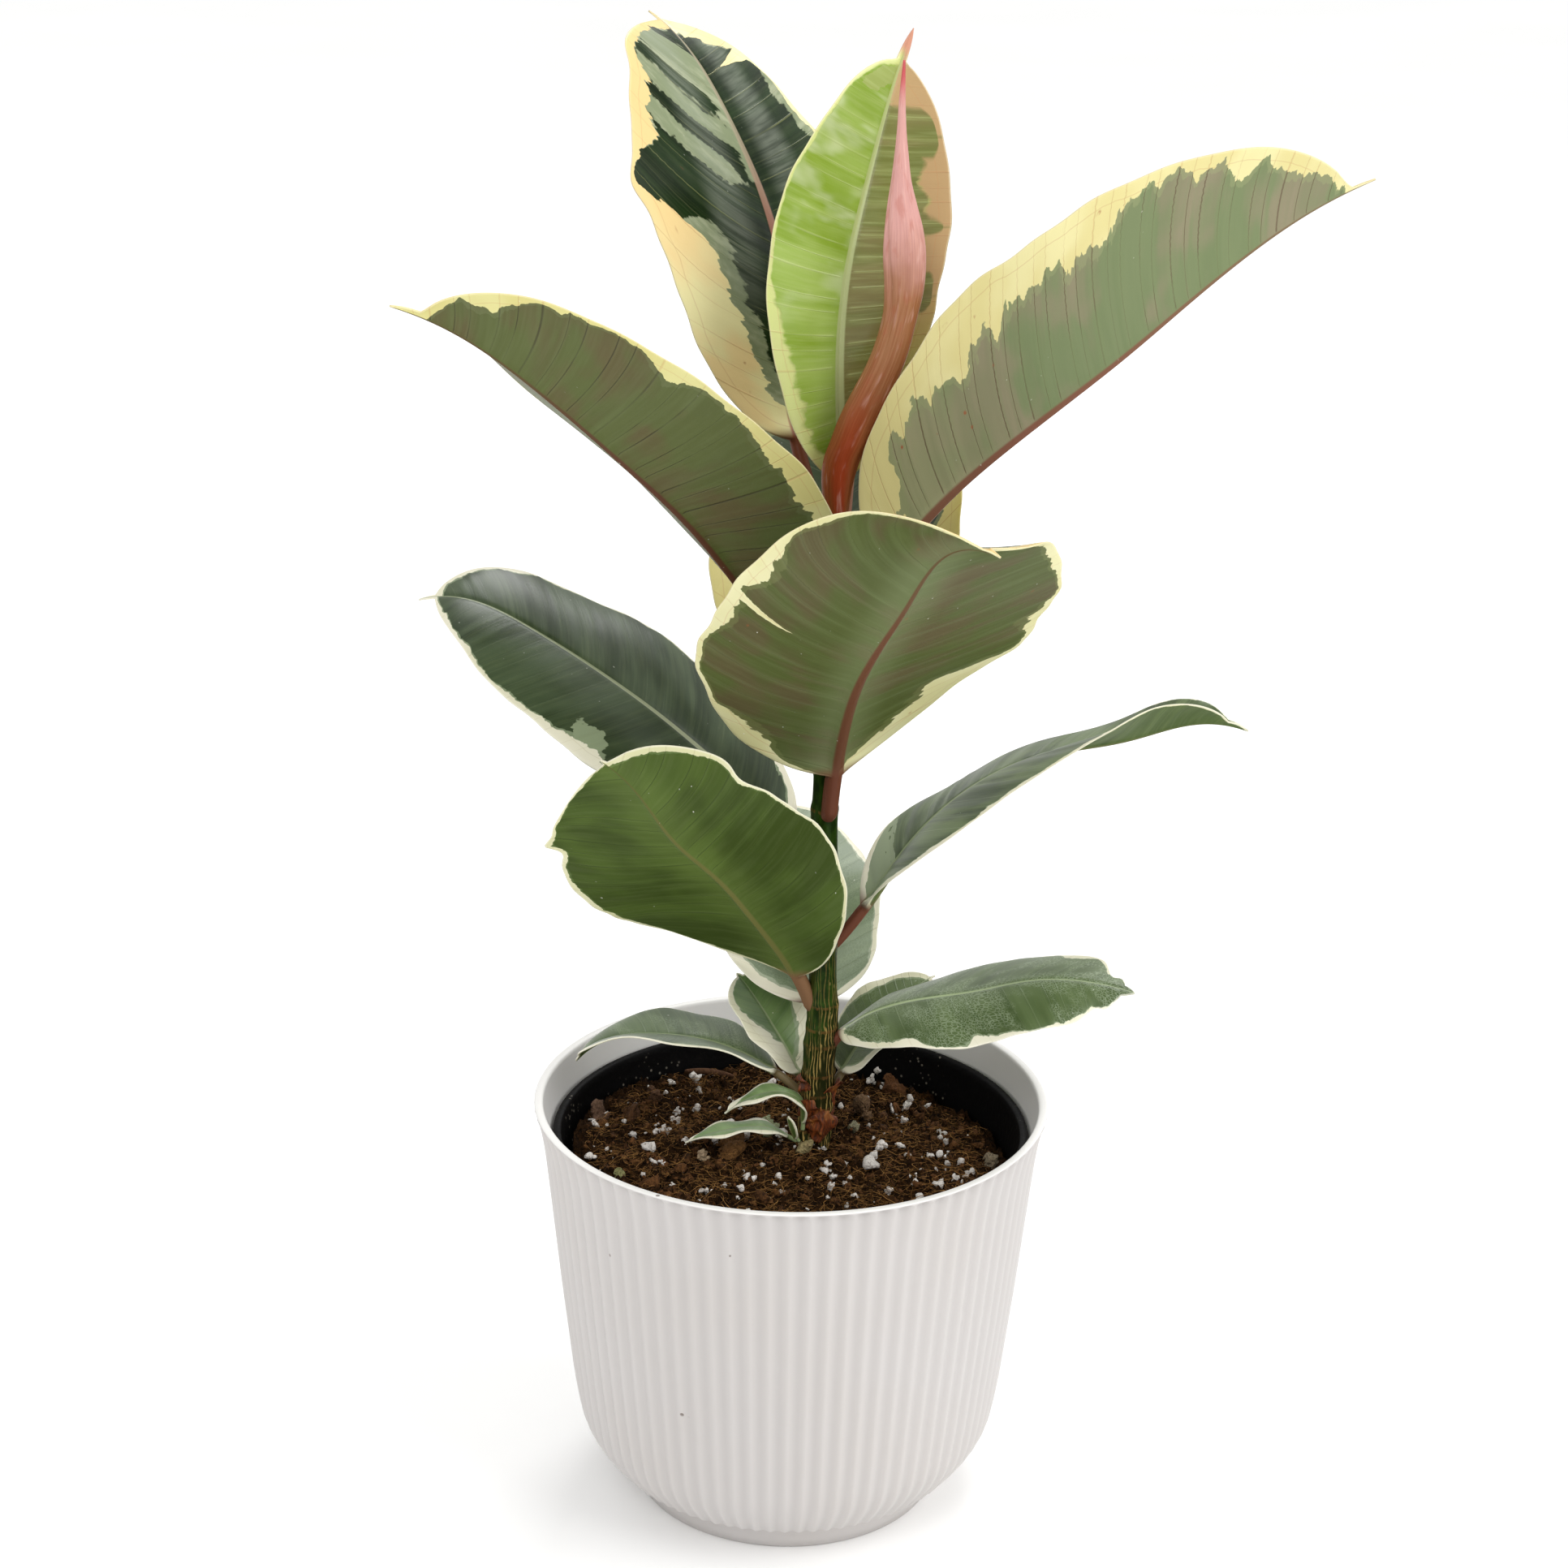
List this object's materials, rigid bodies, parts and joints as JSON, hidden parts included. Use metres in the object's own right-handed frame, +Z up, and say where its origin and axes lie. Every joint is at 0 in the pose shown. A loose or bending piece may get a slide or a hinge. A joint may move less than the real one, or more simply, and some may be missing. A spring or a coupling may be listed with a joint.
{
  "type": "potted variegated rubber plant",
  "caption": "Upright variegated rubber plant with broad leathery leaves, standing in soil in a grow pot inside a fluted white cover pot.",
  "frame": {"origin": "centre of the pot's flat foot, on the surface the pot stands on", "axes": "+Z up along the pot's axis, -Y towards the front that the picture shows, +X to its right"},
  "size_m": [0.2442, 0.1779, 0.4139],
  "materials": {
    "white_plastic": "satin off-white injection moulded plastic with fine specks",
    "black_plastic": "dusty black grow pot plastic",
    "peat": "damp fibrous peat with perlite",
    "bark": "green stem with tan corky cracks low down",
    "stipule": "smooth pink to brown-red bud sheath",
    "yellow_leaf": "waxy green leaf with broad yellow margins",
    "young_leaf": "glossy lime green young leaf with pink and yellow margins",
    "cream_leaf": "waxy grey-green leaf with thin cream margins",
    "dry_scale": "papery red-brown dried stipules"
  },
  "bodies": {
    "root": {"outer_pot": "white_plastic", "nursery_pot": "black_plastic", "soil": "peat", "stem": "bark", "bud_sheath": "stipule", "side_shoot": "bark", "leaf_top_back": "yellow_leaf", "leaf_top_young": "young_leaf", "leaf_upper_right": "yellow_leaf", "leaf_upper_left": "yellow_leaf", "leaf_front": "yellow_leaf", "leaf_back_middle": "yellow_leaf", "leaf_left_middle": "cream_leaf", "leaf_left_front": "cream_leaf", "leaf_right_middle": "cream_leaf", "leaf_back_low": "cream_leaf", "leaf_right_low": "cream_leaf", "leaf_right_low_back": "cream_leaf", "leaf_left_low": "cream_leaf", "leaf_left_inner": "cream_leaf", "leaf_shoot_upper": "cream_leaf", "leaf_shoot_lower": "cream_leaf", "leaf_shoot_tiny": "cream_leaf", "base_scale_right": "dry_scale", "base_scale_front": "dry_scale", "base_scale_low": "dry_scale", "base_scale_left": "dry_scale"}
  },
  "joints": []
}
